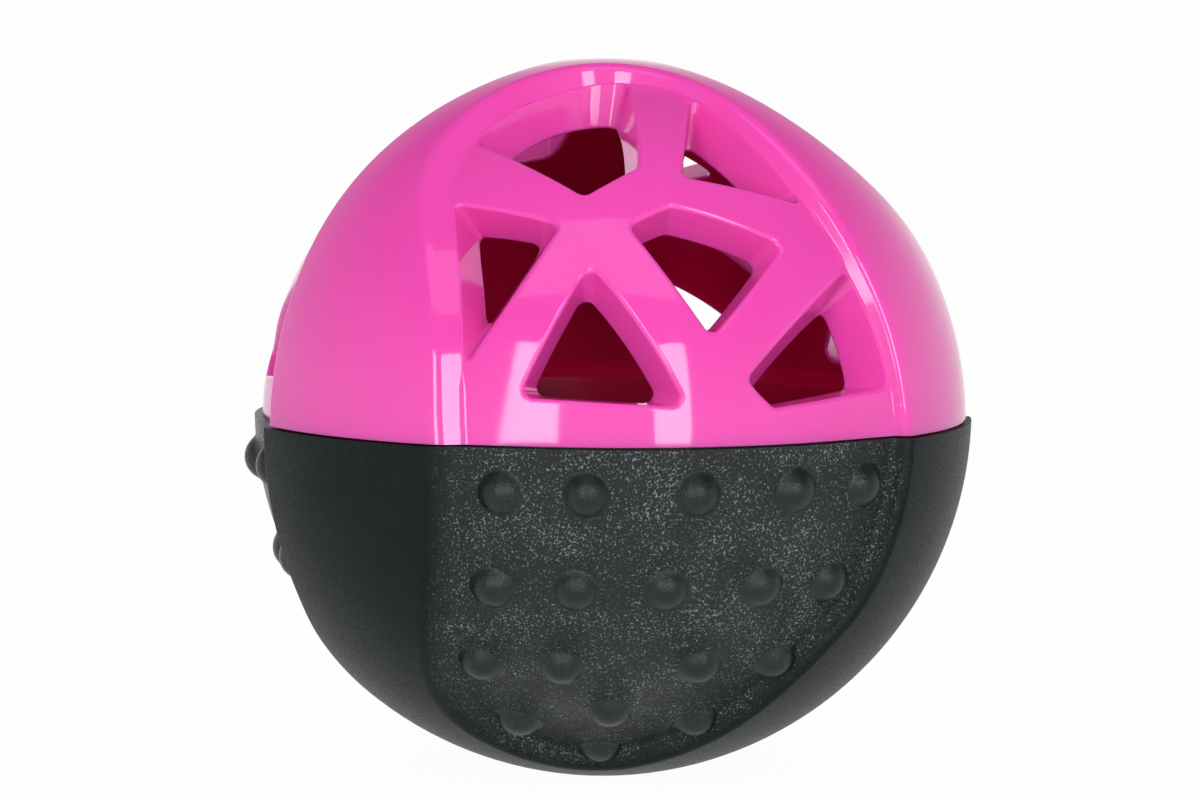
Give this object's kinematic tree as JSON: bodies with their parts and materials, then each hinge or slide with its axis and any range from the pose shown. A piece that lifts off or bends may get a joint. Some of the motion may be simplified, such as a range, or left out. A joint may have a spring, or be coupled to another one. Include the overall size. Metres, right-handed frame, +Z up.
{
  "type": "treat dispensing ball",
  "caption": "Pet treat ball: an openwork hard plastic dome with slanted lattice windows plugs into a studded rubber lower half. Treats go in at the seam and fall out as it rolls.",
  "frame": {"origin": "centre of the ball on the seam plane where the two halves meet", "axes": "+Z up through the dome's top, -Y out of the middle of the front panel, +X to the right seen from the front"},
  "size_m": [0.0882, 0.0888, 0.0873],
  "materials": {
    "dome_plastic": "glossy hot pink",
    "bowl_plastic": "satin black",
    "shell_rubber": "satin black with grainy panels"
  },
  "bodies": {
    "base": {"rubber_shell": "shell_rubber", "inner_bowl": "bowl_plastic"},
    "dome": {"openwork_dome": "dome_plastic"}
  },
  "joints": [
    {"name": "dome_lift", "type": "slide", "parent": "base", "child": "dome", "axis": [0, 0, 1], "range_m": [0, 0.06]}
  ]
}
